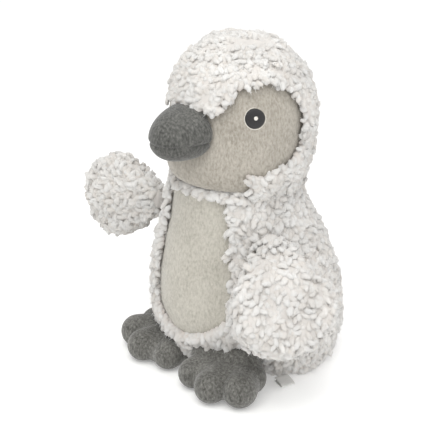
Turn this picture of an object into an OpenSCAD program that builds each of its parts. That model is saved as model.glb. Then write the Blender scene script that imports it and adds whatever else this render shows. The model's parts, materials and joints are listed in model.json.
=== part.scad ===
// Plush penguin: a stuffed toy of sherpa fleece with short-pile face, belly,
// beak and feet. It stands on its base and feet, looks towards -Y and has its
// left side towards +X. Origin: centre of the base, on the surface it stands on.

/* [Body] */
// Radius of the stuffing at the widest ring of the body
body_r = 76; // [60:1:84]
// Height of the neck seam above the floor
neck_z = 156; // [136:1:180]
// Radius of the stuffing at the neck seam
neck_r = 44.5; // [40:0.5:46]
// Forward lean of the body, degrees
body_lean = 5; // [0:1:8]
// Thickness of the curly fleece, backing and pile together
fleece_t = 8.5; // [5:0.5:11]
// Thickness of the short-pile fabric
pile_t = 2; // [1.5:0.25:3]
// Thickness of the panel under the body
base_t = 2; // [1.5:0.25:3]

/* [Belly] */
// Half width of the belly panel at the neck
belly_top_w = 34; // [22:1:36]
// Half width of the belly panel at its round lower end
belly_low_w = 40; // [28:1:42]
// Lowest point of the belly panel above the floor
belly_z = 35; // [34:1:45]

/* [Head] */
// Radius of the stuffing at the widest ring of the head
head_r = 55; // [48:1:60]
// Height of the stuffing of the head above the neck seam
head_h = 117; // [100:1:130]
// Backward lean of the head, degrees
head_lean = 8; // [4:1:10]
// Direction of each side lobe of the face, degrees from straight ahead
lobe_az = 65; // [58:1:72]
// Radius of each side lobe of the face
lobe_r = 39; // [30:1:40]
// Half width of the face panel below the beak
chin_w = 50; // [42:1:52]

/* [Beak] */
// Radius of the beak at its root
beak_r = 21.5; // [16:0.5:24]
// Radius of the round tip
beak_tip_r = 12.5; // [9:0.5:14]
// Distance between the root and tip centres
beak_l = 22; // [16:1:30]
// How far the mouth seam lies below the middle of the beak
mouth_drop = 5; // [2:0.5:8]

/* [Eyes] */
// Direction of each eye, degrees from straight ahead
eye_az = 57; // [50:1:62]
// Height angle of each eye, degrees above the middle of the head
eye_el = 9; // [4:1:14]
// Radius of the black satin-stitched disc
eye_r = 8; // [6:0.25:9]
// Width of the pale thread round it
eye_rim = 0.7; // [0.5:0.1:1]
// Radius of the white dot
glint_r = 2.3; // [1.5:0.1:3]
// Height of each layer of stitching
stitch_t = 0.8; // [0.6:0.1:1]

/* [Wings] */
// Height of the shoulder seam above the floor
wing_z = 126; // [118:1:130]
// Direction of the shoulder seam, degrees from straight ahead
wing_az = 68; // [62:1:74]
// Distance from the shoulder to the middle of the broad end
wing_l = 47; // [38:1:56]
// Radius of the broad end
wing_r = 31; // [25:1:34]
// Half thickness of the wing
wing_half_t = 14.5; // [12:0.5:17]
// Radius of the gathered root of the wing
wing_root_r = 10; // [8:0.5:11]
// Thickness of the wing's fleece
wing_fleece_t = 6; // [4:0.5:7]
// How far the right wing is raised from its folded place, degrees
right_raise = 88; // [0:1:92]

/* [Feet] */
// Radius of each toe
toe_r = 13; // [9:0.5:13]
// Height of the toes' axes above the floor
toe_z = 12; // [9:0.5:12]
// Distance of each ankle seam from the middle plane
ankle_x = 40; // [38:1:46]
// Distance of each ankle seam in front of the middle
ankle_y = 58.5; // [54:0.5:62]
// Outward turn of each foot, degrees
splay = 15; // [8:1:20]
// Spacing between neighbouring toes
toe_gap = 23; // [18:0.5:25]

/* [Hidden] */
$fn = 64;

// Room between pieces that move against each other
clearance = 0.5;
// Anything longer than the toy, for cutting
far = 400;

// Neck: the seam sits on a ball about this point, so the head can turn and nod
seam_y = -neck_z * tan(body_lean);
pivot_z = neck_z - 24;
pivot_y = -pivot_z * tan(body_lean);
ball_r = norm([neck_r + fleece_t, neck_z - pivot_z]);
neck_wad_t = 7;

// Middle of the head, between the neck seam and the crown
head_mid_h = 60;
head_mid = [0, seam_y + head_mid_h * sin(head_lean), neck_z + head_mid_h * cos(head_lean)];
// The bare chin reaches this far below and above the neck seam
chin_drop = 20;
chin_rise = 75;
beak_lift = 8;
beak_y = 3;
beak_drop = 5;

// Shoulder: the ball-shaped root of the wing stands just off the fleece
wing_stand = 7;
shoulder_r = body_radius(wing_z) + fleece_t + wing_stand;
shoulder = [shoulder_r * sin(wing_az), -wing_z * tan(body_lean) - shoulder_r * cos(wing_az), wing_z];
wing_seam_axis = [0.66, -0.665, -0.345];
fold_az = 58;
fold_droop = 54.5;
pillow_r = 46;

// Toes: how far each reaches in front of the ankle seam, inner to outer
toe_reach = [16, 28, 21];
ankle_room_z = 32;
pouch_r = 42;
pouch_h = 24;
pouch_t = 1;

// Radius and height of the body's stuffing along its own axis
function body_profile() = [[0, -12], [body_r - 16, -10], [body_r - 5, 6], [body_r, 30],
    [body_r - 1, 60], [body_r - 6, 90], [body_r - 15, 115], [neck_r + 7.5, neck_z - 22],
    [neck_r + 1.5, neck_z - 6], [neck_r, neck_z], [neck_r, neck_z + 30], [0, neck_z + 30]];
// Radius and height of the head's stuffing above the neck seam
function head_profile() = [[0, -12], [neck_r - 1, -12], [neck_r + 0.5, 0], [neck_r + 5, 6],
    [head_r - 2.5, 17], [head_r - 0.5, 32], [head_r, head_h - 60], [head_r - 3, head_h - 39],
    [head_r - 10, head_h - 22], [head_r - 22, head_h - 9], [head_r - 38, head_h - 2], [0, head_h]];
// Radius of the body's stuffing at one height
function body_radius(z) = lookup(z, [for (p = body_profile()) if (p[0] > 0) [p[1], p[0]]]);

// A profile grown sideways by t, with its top moved up by lift
function grown(profile, t, lift) = [for (i = [0 : len(profile) - 1])
    [profile[i][0] == 0 ? 0 : profile[i][0] + t, profile[i][1] + (i >= 10 ? lift : 0)]];

module body_solid(t) {
    intersection() {
        rotate([body_lean, 0, 0]) rotate_extrude() polygon(grown(body_profile(), t, -t));
        translate([-far / 2, -far / 2, 0]) cube([far, far, far]);
    }
}

module head_solid(t) {
    translate([0, seam_y, neck_z]) rotate([-head_lean, 0, 0])
        rotate_extrude() polygon(grown(head_profile(), t, t));
}

module neck_ball(r) {
    translate([0, pivot_y, pivot_z]) sphere(r = r);
}

// Room above the shoulders that only the ball of the neck may fill
module above_shoulders() {
    translate([-far / 2, -far / 2, pivot_z + 6]) cube([far, far, far]);
}

// Everything on one side of the middle plane, -1 for the right
module half(side) {
    translate([side > 0 ? 0 : -far, -far / 2, -1]) cube([far, far, far]);
}

// Points of a circle's arc about [x, 0]
function arc(x, r, from, to, steps) = [for (i = [0 : steps])
    let (a = from + (to - from) * i / steps) [x + r * cos(a), r * sin(a)]];

// Outline of two circles and their common tangents
module teardrop(r1, r2, l) {
    a = 90 + asin((r2 - r1) / l);
    polygon(concat(arc(l, r2, -a, a, 16), arc(0, r1, a, 360 - a, 6)));
}

// Front outline of the belly panel
module belly_outline() {
    rotate([90, 0, 0]) linear_extrude(far / 2) {
        translate([0, belly_z + belly_low_w]) circle(r = belly_low_w);
        polygon([[-belly_low_w, belly_z + belly_low_w], [belly_low_w, belly_z + belly_low_w],
            [belly_top_w, neck_z + 4], [-belly_top_w, neck_z + 4]]);
    }
}

// Outline of the face: a round lobe on each cheek and the chin between them
module face_outline() {
    for (side = [-1, 1])
        translate(head_mid) rotate([0, 0, side * lobe_az - 90]) rotate([0, 90, 0])
            cylinder(r = lobe_r, h = far / 2);
    translate([-chin_w, -far / 2, neck_z - chin_drop]) cube([2 * chin_w, far / 2, chin_drop + chin_rise]);
}

module at_ankle(side) {
    translate([side * ankle_x, -ankle_y, toe_z]) rotate([0, 0, side * splay]) children();
}

// Toes and heel roll grown by t from the filling outwards
module foot_solid(side, t) {
    r = toe_r - pile_t + t;
    roll = toe_gap * 1.2;
    intersection() {
        at_ankle(side) {
            for (i = [0 : 2]) translate([side * (i - 1) * toe_gap, -toe_reach[i], 0]) sphere(r = r);
            translate([-roll - t, 0, 0]) rotate([0, 90, 0]) cylinder(r = r - 0.6, h = 2 * (roll + t));
            translate([0, 0, -toe_z]) linear_extrude(toe_z + 0.7 * r)
                polygon(concat([for (i = [0 : 2]) [side * (i - 1) * (toe_gap + r * 0.6), -toe_reach[i]]],
                    [[side * roll, 0], [-side * roll, 0]]));
        }
        translate([-far / 2, -far / 2, 0]) cube([far, far, far]);
    }
}

// Room in the body for the heel roll, and for the toes as they lift
module ankle_room(side) {
    w = toe_gap + toe_r + 3;
    at_ankle(side) {
        translate([-w, 0, 0]) rotate([0, 90, 0]) cylinder(r = toe_r + clearance, h = 2 * w);
        translate([-w, -far / 2, -toe_z - 1]) cube([2 * w, far / 2, ankle_room_z + 1]);
    }
}

module shoulder_room(side) {
    translate([side * shoulder[0], shoulder[1], shoulder[2]]) sphere(r = wing_root_r + clearance);
}

// What every piece of the body gives way to
module body_rooms() {
    for (side = [-1, 1]) {
        ankle_room(side);
        shoulder_room(side);
    }
    difference() {
        above_shoulders();
        neck_ball(ball_r);
    }
}

module body_filling() {
    color("white") difference() {
        intersection() {
            body_solid(0);
            translate([-far / 2, -far / 2, base_t]) cube([far, far, far]);
        }
        body_rooms();
        difference() {
            above_shoulders();
            neck_ball(ball_r - neck_wad_t - 2 * clearance);
        }
        translate([0, 0, base_t]) cylinder(r = pouch_r, h = pouch_h);
    }
}

module pellet_pouch() {
    color("gainsboro") translate([0, 0, base_t]) difference() {
        cylinder(r = pouch_r, h = pouch_h);
        translate([0, 0, pouch_t]) cylinder(r = pouch_r - pouch_t, h = pouch_h - 2 * pouch_t);
    }
}

module pellets() {
    color("whitesmoke") translate([0, 0, base_t + pouch_t])
        cylinder(r = pouch_r - pouch_t, h = pouch_h - 2 * pouch_t);
}

module base_panel() {
    color("tan") difference() {
        intersection() {
            body_solid(0);
            translate([-far / 2, -far / 2, 0]) cube([far, far, base_t]);
        }
        body_rooms();
    }
}

module belly_panel() {
    color("#C8C4B8") difference() {
        intersection() {
            body_solid(pile_t);
            belly_outline();
        }
        body_solid(0);
        body_rooms();
    }
}

module body_fleece(side) {
    color("#E6E4E0") difference() {
        intersection() {
            body_solid(fleece_t);
            half(side);
        }
        body_solid(0);
        belly_outline();
        body_rooms();
    }
}

module body_fleece_left() { body_fleece(1); }
module body_fleece_right() { body_fleece(-1); }

// A blank folded tag that sticks out of the base seam
module care_label() {
    reach = 11;
    width = 12;
    thick = 1.2;
    rim = body_radius(3) + fleece_t;
    color("white") difference() {
        rotate([0, 0, wing_az - 90]) translate([rim - 4, -width / 2, 3]) cube([4 + reach, width, thick]);
        body_solid(fleece_t);
    }
}

module neck_filling() {
    color("white") difference() {
        intersection() {
            neck_ball(ball_r - clearance);
            translate([0, pivot_y, pivot_z + 24]) cylinder(r = neck_r - 6, h = far);
        }
        neck_ball(ball_r - neck_wad_t);
    }
}

module head_filling() {
    color("white") difference() {
        head_solid(0);
        neck_ball(ball_r + clearance);
    }
}

// The head's fleece and the face panel share the beak's root and the neck seam
module hood(side) {
    color("#E6E4E0") difference() {
        intersection() {
            head_solid(fleece_t);
            half(side);
        }
        head_solid(0);
        face_outline();
        neck_ball(ball_r + clearance);
        beak_solid(pile_t);
    }
}

module hood_left() { hood(1); }
module hood_right() { hood(-1); }

module face_panel() {
    color("#C2BDB2") difference() {
        intersection() {
            head_solid(pile_t);
            face_outline();
        }
        head_solid(0);
        neck_ball(ball_r + clearance);
    }
}

// Beak grown by t from its filling outwards: a blunt egg, open at the back
module beak_solid(t) {
    r = beak_r - pile_t + t;
    l = beak_l + beak_tip_r - pile_t + t;
    translate([0, head_mid[1] - head_r - beak_y, head_mid[2] - beak_drop]) rotate([beak_lift, 0, 0])
        rotate([90, 0, 0]) rotate_extrude()
            polygon(concat([[0, -beak_r], [r * 0.8, -beak_r]],
                [for (a = [0 : 10 : 90]) [r * pow(cos(a), 0.85), l * sin(a)]]));
}

module mouth_side(up) {
    translate([-far / 2, -far, head_mid[2] - beak_drop - mouth_drop - (up ? 0 : far)]) cube([far, far, far]);
}

module beak_half(up) {
    color("#74746F") difference() {
        intersection() {
            beak_solid(pile_t);
            mouth_side(up);
        }
        beak_solid(0);
        head_solid(pile_t);
    }
}

module beak_upper() { beak_half(true); }
module beak_lower() { beak_half(false); }

module beak_filling() {
    color("white") difference() {
        beak_solid(0);
        head_solid(pile_t);
    }
}

module toward_eye(side, r1, r2) {
    translate(head_mid) rotate([0, 0, side * eye_az - 90]) rotate([0, 90 - eye_el, 0]) difference() {
        cylinder(r = r2, h = far / 2);
        translate([0, 0, -1]) cylinder(r = r1, h = far);
    }
}

// One layer of stitching on the face, between two heights
module stitching(side, r1, r2, low, high) {
    difference() {
        intersection() {
            head_solid(pile_t + high);
            toward_eye(side, r1, r2);
        }
        head_solid(pile_t + low);
    }
}

module eye_disc(side) {
    color("#1C1B1D") intersection() {
        difference() {
            head_solid(pile_t + stitch_t);
            head_solid(pile_t);
        }
        translate(head_mid) rotate([0, 0, side * eye_az - 90]) rotate([0, 90 - eye_el, 0])
            cylinder(r = eye_r, h = far / 2);
    }
}

module eye_glint(side) {
    color("white") intersection() {
        difference() {
            head_solid(pile_t + 2 * stitch_t);
            head_solid(pile_t + stitch_t);
        }
        translate(head_mid) rotate([0, 0, side * eye_az - 90]) rotate([0, 90 - eye_el, 0])
            cylinder(r = glint_r, h = far / 2);
    }
}

module eye_left() { eye_disc(1); }
module eye_right() { eye_disc(-1); }
module eye_left_rim() { color("white") stitching(1, eye_r, eye_r + eye_rim, 0, stitch_t); }
module eye_right_rim() { color("white") stitching(-1, eye_r, eye_r + eye_rim, 0, stitch_t); }
module eye_left_glint() { eye_glint(1); }
module eye_right_glint() { eye_glint(-1); }

// The wing lies along +X with its broad faces up and down
module wing_pillow(inset) {
    intersection() {
        translate([0, 0, -wing_half_t]) linear_extrude(2 * wing_half_t)
            teardrop(wing_root_r - 2 - 0.3 * inset, wing_r - inset, wing_l);
        lens(pillow_r - inset, wing_half_t - inset);
    }
}

// A lens about the middle of the broad end, r across and h thick on each side
module lens(r, h) {
    rim = [for (a = [-90 : 15 : 90]) [r * cos(a), h * sin(a)]];
    translate([wing_l, 0, 0]) rotate_extrude() polygon(rim);
}

module wing_solid() {
    wing_pillow(0);
    sphere(r = wing_root_r);
    rotate([0, 90, 0]) cylinder(r = wing_root_r - 2, h = wing_l / 2);
}

// Wing of the left side, folded down by the body and then raised about the shoulder seam
module place_wing(side) {
    mirror([side > 0 ? 0 : 1, 0, 0]) translate(shoulder)
        rotate(a = side > 0 ? 0 : right_raise, v = wing_seam_axis)
            rotate([0, 0, fold_az - 90]) rotate([0, fold_droop, 0]) children();
}

module wing_half(side, outer) {
    color("#E6E4E0") place_wing(side) difference() {
        intersection() {
            wing_solid();
            translate([-far / 2, -far / 2, outer ? 0 : -far]) cube([far, far, far]);
        }
        wing_pillow(wing_fleece_t);
    }
}

module wing_filling(side) {
    color("white") place_wing(side) wing_pillow(wing_fleece_t);
}

module wing_left_outer() { wing_half(1, true); }
module wing_left_inner() { wing_half(1, false); }
module wing_left_filling() { wing_filling(1); }
module wing_right_outer() { wing_half(-1, true); }
module wing_right_inner() { wing_half(-1, false); }
module wing_right_filling() { wing_filling(-1); }

module sole_slab(side, under) {
    translate([-far / 2, -far / 2, under ? pile_t - far : pile_t]) cube([far, far, far]);
}

module foot_upper(side) {
    color("#74736D") difference() {
        foot_solid(side, pile_t);
        foot_solid(side, 0);
        sole_slab(side, true);
    }
}

module foot_sole(side) {
    color("#6B6A64") intersection() {
        foot_solid(side, pile_t);
        sole_slab(side, true);
    }
}

module foot_filling(side) {
    color("white") difference() {
        foot_solid(side, 0);
        sole_slab(side, true);
    }
}

module foot_left_upper() { foot_upper(1); }
module foot_left_sole() { foot_sole(1); }
module foot_left_filling() { foot_filling(1); }
module foot_right_upper() { foot_upper(-1); }
module foot_right_sole() { foot_sole(-1); }
module foot_right_filling() { foot_filling(-1); }

body_filling();
pellet_pouch();
pellets();
base_panel();
belly_panel();
body_fleece_left();
body_fleece_right();
care_label();
neck_filling();
head_filling();
hood_left();
hood_right();
face_panel();
beak_upper();
beak_lower();
beak_filling();
eye_left();
eye_left_rim();
eye_left_glint();
eye_right();
eye_right_rim();
eye_right_glint();
wing_left_outer();
wing_left_inner();
wing_left_filling();
wing_right_outer();
wing_right_inner();
wing_right_filling();
foot_left_upper();
foot_left_sole();
foot_left_filling();
foot_right_upper();
foot_right_sole();
foot_right_filling();
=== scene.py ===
import json
import math

import bpy
import numpy as np
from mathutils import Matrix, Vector
from mathutils.bvhtree import BVHTree


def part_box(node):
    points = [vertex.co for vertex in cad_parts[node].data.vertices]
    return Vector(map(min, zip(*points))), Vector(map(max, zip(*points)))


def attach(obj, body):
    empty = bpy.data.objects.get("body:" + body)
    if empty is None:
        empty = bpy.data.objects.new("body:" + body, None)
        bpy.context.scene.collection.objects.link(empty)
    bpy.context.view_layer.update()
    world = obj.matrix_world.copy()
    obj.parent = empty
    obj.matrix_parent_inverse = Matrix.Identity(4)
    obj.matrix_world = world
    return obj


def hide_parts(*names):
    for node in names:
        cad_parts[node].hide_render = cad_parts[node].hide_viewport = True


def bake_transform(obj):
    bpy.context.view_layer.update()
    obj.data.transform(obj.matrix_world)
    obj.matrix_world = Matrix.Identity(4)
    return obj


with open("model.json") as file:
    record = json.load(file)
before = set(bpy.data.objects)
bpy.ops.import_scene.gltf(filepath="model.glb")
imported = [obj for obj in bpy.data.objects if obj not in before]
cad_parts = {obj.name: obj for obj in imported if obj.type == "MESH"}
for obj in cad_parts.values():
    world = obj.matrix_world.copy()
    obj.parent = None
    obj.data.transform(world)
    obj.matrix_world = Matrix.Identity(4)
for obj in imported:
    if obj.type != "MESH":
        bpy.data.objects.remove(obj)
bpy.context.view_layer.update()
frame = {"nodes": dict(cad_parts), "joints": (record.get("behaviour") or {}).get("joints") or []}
mm = 0.001
down = np.array([0.0, 0.0, -1.0])
jointAt = {j["name"]: np.array(j["pos_m"], float) for j in frame["joints"]}
print("frame loaded")


cameraFacts = {"azimuth": 45, "elevation": 23, "distance": 0.95, "lens": 93.8,
               "aim": (0, -0.011, 0.14), "shift": (-0.0341, -0.0568)}


def standAt(obj, azimuth, elevation, distance):
    # Out from the aim point by two angles in degrees, and turned to face it
    a, e = math.radians(azimuth), math.radians(elevation)
    back = Vector((math.sin(a) * math.cos(e), -math.cos(a) * math.cos(e), math.sin(e)))
    obj.location = Vector(cameraFacts["aim"]) + back * distance
    obj.rotation_mode = "QUATERNION"
    obj.rotation_quaternion = (-back).to_track_quat("-Z", "Y")


def addCamera(facts):
    data = bpy.data.cameras.new("camera")
    data.lens, data.sensor_width = facts["lens"], 36
    data.shift_x, data.shift_y = facts["shift"]
    cam = bpy.data.objects.new("camera", data)
    bpy.context.scene.collection.objects.link(cam)
    standAt(cam, facts["azimuth"], facts["elevation"], facts["distance"])
    bpy.context.scene.camera = cam


def toLinear(hexColour):
    values = [int(hexColour[i:i + 2], 16) / 255 for i in (1, 3, 5)]
    return [v / 12.92 if v <= 0.04045 else ((v + 0.055) / 1.055) ** 2.4 for v in values] + [1.0]


def addNode(tree, kind, settings=None, links=None, inputs=None):
    # One shader node, its settings, the values of its inputs, and the sockets that feed it
    node = tree.nodes.new(kind)
    for key, value in (settings or {}).items():
        setattr(node, key, value)
    for key, value in (inputs or {}).items():
        node.inputs[key].default_value = value
    for key, source in (links or {}).items():
        tree.links.new(source, node.inputs[key])
    return node


def newMaterial(name):
    mat = bpy.data.materials.new(name)
    mat.use_nodes = True
    mat.node_tree.nodes.clear()
    return mat, mat.node_tree


def finishMaterial(tree, shader):
    out = addNode(tree, "ShaderNodeOutputMaterial")
    tree.links.new(shader.outputs[0], out.inputs["Surface"])


def areaLight(name, azimuth, elevation, distance, size, watts, hexColour="#FFFFFF"):
    data = bpy.data.lights.new(name, "AREA")
    data.size, data.energy, data.color = size, watts, toLinear(hexColour)[:3]
    light = bpy.data.objects.new(name, data)
    bpy.context.scene.collection.objects.link(light)
    standAt(light, azimuth, elevation, distance)


addCamera(cameraFacts)
bpy.context.scene.view_settings.view_transform = "Standard"
world = bpy.data.worlds.new("studio")
bpy.context.scene.world = world
world.use_nodes = True
world.node_tree.nodes["Background"].inputs["Color"].default_value = toLinear("#FFFFFF")
world.node_tree.nodes["Background"].inputs["Strength"].default_value = 0.72
areaLight("key", 20, 62, 1.6, 1.1, 13, "#FFFFFD")
areaLight("fill", 100, 40, 1.8, 1.3, 4.5, "#FCFDFF")
areaLight("top", 160, 80, 1.7, 1.2, 4.5, "#FFFFFF")

floorMaterial, floorTree = newMaterial("painted_studio_floor")
floorGrain = addNode(floorTree, "ShaderNodeTexNoise", inputs={"Scale": 60.0, "Detail": 4.0})
floorBump = addNode(floorTree, "ShaderNodeBump", inputs={"Strength": 0.02, "Distance": 0.001},
                    links={"Height": floorGrain.outputs["Fac"]})
finishMaterial(floorTree, addNode(floorTree, "ShaderNodeBsdfPrincipled",
    inputs={"Base Color": toLinear("#F4F4F3"), "Roughness": 0.9,
            "Emission Color": toLinear("#FFFFFF"), "Emission Strength": 0.22},
    links={"Normal": floorBump.outputs[0]}))


def meshObject(name, verts, faces, material):
    mesh = bpy.data.meshes.new(name)
    mesh.from_pydata([tuple(v) for v in verts], [], [tuple(f) for f in faces])
    mesh.validate()
    mesh.materials.append(material)
    obj = bpy.data.objects.new(name, mesh)
    bpy.context.scene.collection.objects.link(obj)
    mesh.polygons.foreach_set("use_smooth", [True] * len(mesh.polygons))
    return obj


floorObject = meshObject("studio_floor", [(-4, -4, 0), (4, -4, 0), (4, 4, 0), (-4, 4, 0)],
                         [(0, 1, 2, 3)], floorMaterial)
floorObject.location.z = -0.0004


def fleeceMaterial(name, tipHex, midHex, rootShadeHex):
    # Sherpa fleece: brushed polyester curls, pinkish beige down in the pile as painted shade between the locks
    mat, tree = newMaterial(name)
    along = addNode(tree, "ShaderNodeAttribute", {"attribute_name": "along"})
    tint = addNode(tree, "ShaderNodeAttribute", {"attribute_name": "tint"})
    # Colour ramp along each lock: root and mid colours darker than the tip, painted shade deep in the pile
    ramp = addNode(tree, "ShaderNodeValToRGB", links={"Fac": along.outputs["Fac"]})
    ramp.color_ramp.elements[0].position, ramp.color_ramp.elements[0].color = 0.0, toLinear(rootShadeHex)
    ramp.color_ramp.elements[1].position, ramp.color_ramp.elements[1].color = 0.72, toLinear(tipHex)
    middle = ramp.color_ramp.elements.new(0.38)
    middle.color = toLinear(midHex)
    coords = addNode(tree, "ShaderNodeTexCoord")
    clouds = addNode(tree, "ShaderNodeTexNoise", inputs={"Scale": 38.0, "Detail": 3.0},
                     links={"Vector": coords.outputs["Object"]})
    warm = addNode(tree, "ShaderNodeMix", {"data_type": "RGBA", "blend_type": "MULTIPLY"},
                   inputs={"B": toLinear("#F9F6F3")},
                   links={"A": ramp.outputs["Color"]})
    tree.links.new(tint.outputs["Fac"], warm.inputs["Factor"])
    shade = addNode(tree, "ShaderNodeMapRange",
                    inputs={"From Min": 0.35, "From Max": 0.65, "To Min": 0.93, "To Max": 1.04},
                    links={"Value": clouds.outputs["Fac"]})
    toned = addNode(tree, "ShaderNodeHueSaturation",
                    links={"Color": warm.outputs["Result"], "Value": shade.outputs["Result"]})
    uv = addNode(tree, "ShaderNodeUVMap", {"uv_map": "strand"})
    stretch = addNode(tree, "ShaderNodeMapping", inputs={"Scale": (9.0, 1.6, 1.0)},
                      links={"Vector": uv.outputs["UV"]})
    fibres = addNode(tree, "ShaderNodeTexNoise", {"noise_dimensions": "3D"},
                     inputs={"Scale": 2.6, "Detail": 5.0, "Roughness": 0.6},
                     links={"Vector": stretch.outputs["Vector"]})
    bump = addNode(tree, "ShaderNodeBump", inputs={"Strength": 0.3, "Distance": 0.0004},
                   links={"Height": fibres.outputs["Fac"]})
    outAxis = addNode(tree, "ShaderNodeAttribute", {"attribute_name": "outAxis"})
    outWorld = addNode(tree, "ShaderNodeVectorTransform",
                       {"vector_type": "NORMAL", "convert_from": "OBJECT", "convert_to": "WORLD"},
                       links={"Vector": outAxis.outputs["Vector"]})
    soft = addNode(tree, "ShaderNodeMix", {"data_type": "VECTOR"}, inputs={"Factor": 0.45},
                   links={"A": bump.outputs["Normal"], "B": outWorld.outputs["Vector"]})
    normal = addNode(tree, "ShaderNodeVectorMath", {"operation": "NORMALIZE"}, links={0: soft.outputs[1]})
    shader = addNode(tree, "ShaderNodeBsdfPrincipled",
        inputs={"Roughness": 0.9, "IOR": 1.5, "Specular IOR Level": 0.1,
                "Sheen Weight": 0.15, "Sheen Roughness": 0.5},
        links={"Base Color": toned.outputs["Color"], "Normal": normal.outputs["Vector"]})
    through = addNode(tree, "ShaderNodeBsdfTranslucent",
                      links={"Color": toned.outputs["Color"], "Normal": normal.outputs["Vector"]})
    finishMaterial(tree, addNode(tree, "ShaderNodeMixShader", inputs={"Fac": 0.3},
                                 links={1: shader.outputs[0], 2: through.outputs[0]}))
    return mat


def pileMaterial(name, darkHex, midHex, lightHex, grainMm=0.85, relief=0.0007, sheen=0.4, nap=(1, 1, 0.55)):
    # Short cut pile of polyester velboa: fine nap that lies in small flecks
    mat, tree = newMaterial(name)
    coords = addNode(tree, "ShaderNodeTexCoord")
    napMap = addNode(tree, "ShaderNodeMapping", inputs={"Scale": nap},
                     links={"Vector": coords.outputs["Object"]})
    grain = addNode(tree, "ShaderNodeTexNoise",
                    inputs={"Scale": 1000 / grainMm / 2, "Detail": 4.0, "Roughness": 0.62},
                    links={"Vector": napMap.outputs["Vector"]})
    fine = addNode(tree, "ShaderNodeTexNoise", inputs={"Scale": 1000 / grainMm * 1.6, "Detail": 2.0},
                   links={"Vector": coords.outputs["Object"]})
    clouds = addNode(tree, "ShaderNodeTexNoise", inputs={"Scale": 45.0, "Detail": 3.0},
                     links={"Vector": coords.outputs["Object"]})
    both = addNode(tree, "ShaderNodeMath", {"operation": "MULTIPLY_ADD"}, inputs={1: 0.3},
                   links={0: clouds.outputs["Fac"], 2: grain.outputs["Fac"]})
    level = addNode(tree, "ShaderNodeMapRange", inputs={"From Min": 0.42, "From Max": 0.88},
                    links={"Value": both.outputs["Value"]})
    ramp = addNode(tree, "ShaderNodeValToRGB", links={"Fac": level.outputs["Result"]})
    ramp.color_ramp.elements[0].color = toLinear(darkHex)
    ramp.color_ramp.elements[1].color = toLinear(lightHex)
    ramp.color_ramp.elements.new(0.5).color = toLinear(midHex)
    height = addNode(tree, "ShaderNodeMath", {"operation": "MULTIPLY_ADD"}, inputs={1: 0.4},
                     links={0: fine.outputs["Fac"], 2: grain.outputs["Fac"]})
    bump = addNode(tree, "ShaderNodeBump", inputs={"Strength": 0.9, "Distance": relief},
                   links={"Height": height.outputs["Value"]})
    shader = addNode(tree, "ShaderNodeBsdfPrincipled",
        inputs={"Roughness": 0.9, "IOR": 1.5, "Specular IOR Level": 0.2,
                "Sheen Weight": sheen, "Sheen Roughness": 0.4},
        links={"Base Color": ramp.outputs["Color"], "Normal": bump.outputs["Normal"]})
    finishMaterial(tree, shader)
    return mat


def threadMaterial(name, darkHex, lightHex, sheen=0.1, roughness=0.45):
    # Rayon embroidery thread: satin, lightly twisted
    mat, tree = newMaterial(name)
    coords = addNode(tree, "ShaderNodeTexCoord")
    twist = addNode(tree, "ShaderNodeTexNoise", inputs={"Scale": 2400.0, "Detail": 2.0},
                    links={"Vector": coords.outputs["Object"]})
    ramp = addNode(tree, "ShaderNodeValToRGB", links={"Fac": twist.outputs["Fac"]})
    ramp.color_ramp.elements[0].position, ramp.color_ramp.elements[0].color = 0.3, toLinear(darkHex)
    ramp.color_ramp.elements[1].position, ramp.color_ramp.elements[1].color = 0.7, toLinear(lightHex)
    bump = addNode(tree, "ShaderNodeBump", inputs={"Strength": 0.5, "Distance": 0.0002},
                   links={"Height": twist.outputs["Fac"]})
    shader = addNode(tree, "ShaderNodeBsdfPrincipled",
        inputs={"Roughness": roughness, "IOR": 1.5, "Sheen Weight": sheen},
        links={"Base Color": ramp.outputs["Color"], "Normal": bump.outputs["Normal"]})
    finishMaterial(tree, shader)
    return mat


def weaveMaterial(name, darkHex, lightHex, threadMm):
    # Plain-woven polyester: warp and weft as two crossed sets of bands
    mat, tree = newMaterial(name)
    coords = addNode(tree, "ShaderNodeTexCoord")
    threads = {"Scale": 1000 / threadMm / 6.28, "Distortion": 0.3}
    warp = addNode(tree, "ShaderNodeTexWave", {"bands_direction": "X"}, inputs=threads,
                   links={"Vector": coords.outputs["Object"]})
    weft = addNode(tree, "ShaderNodeTexWave", {"bands_direction": "Y"}, inputs=threads,
                   links={"Vector": coords.outputs["Object"]})
    cloth = addNode(tree, "ShaderNodeMath", {"operation": "MULTIPLY"},
                    links={0: warp.outputs["Fac"], 1: weft.outputs["Fac"]})
    ramp = addNode(tree, "ShaderNodeValToRGB", links={"Fac": cloth.outputs["Value"]})
    ramp.color_ramp.elements[0].color, ramp.color_ramp.elements[1].color = toLinear(darkHex), toLinear(lightHex)
    bump = addNode(tree, "ShaderNodeBump", inputs={"Strength": 0.5, "Distance": 0.0003},
                   links={"Height": cloth.outputs["Value"]})
    shader = addNode(tree, "ShaderNodeBsdfPrincipled",
        inputs={"Roughness": 0.85, "IOR": 1.5, "Sheen Weight": 0.1},
        links={"Base Color": ramp.outputs["Color"], "Normal": bump.outputs["Normal"]})
    finishMaterial(tree, shader)
    return mat


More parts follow.
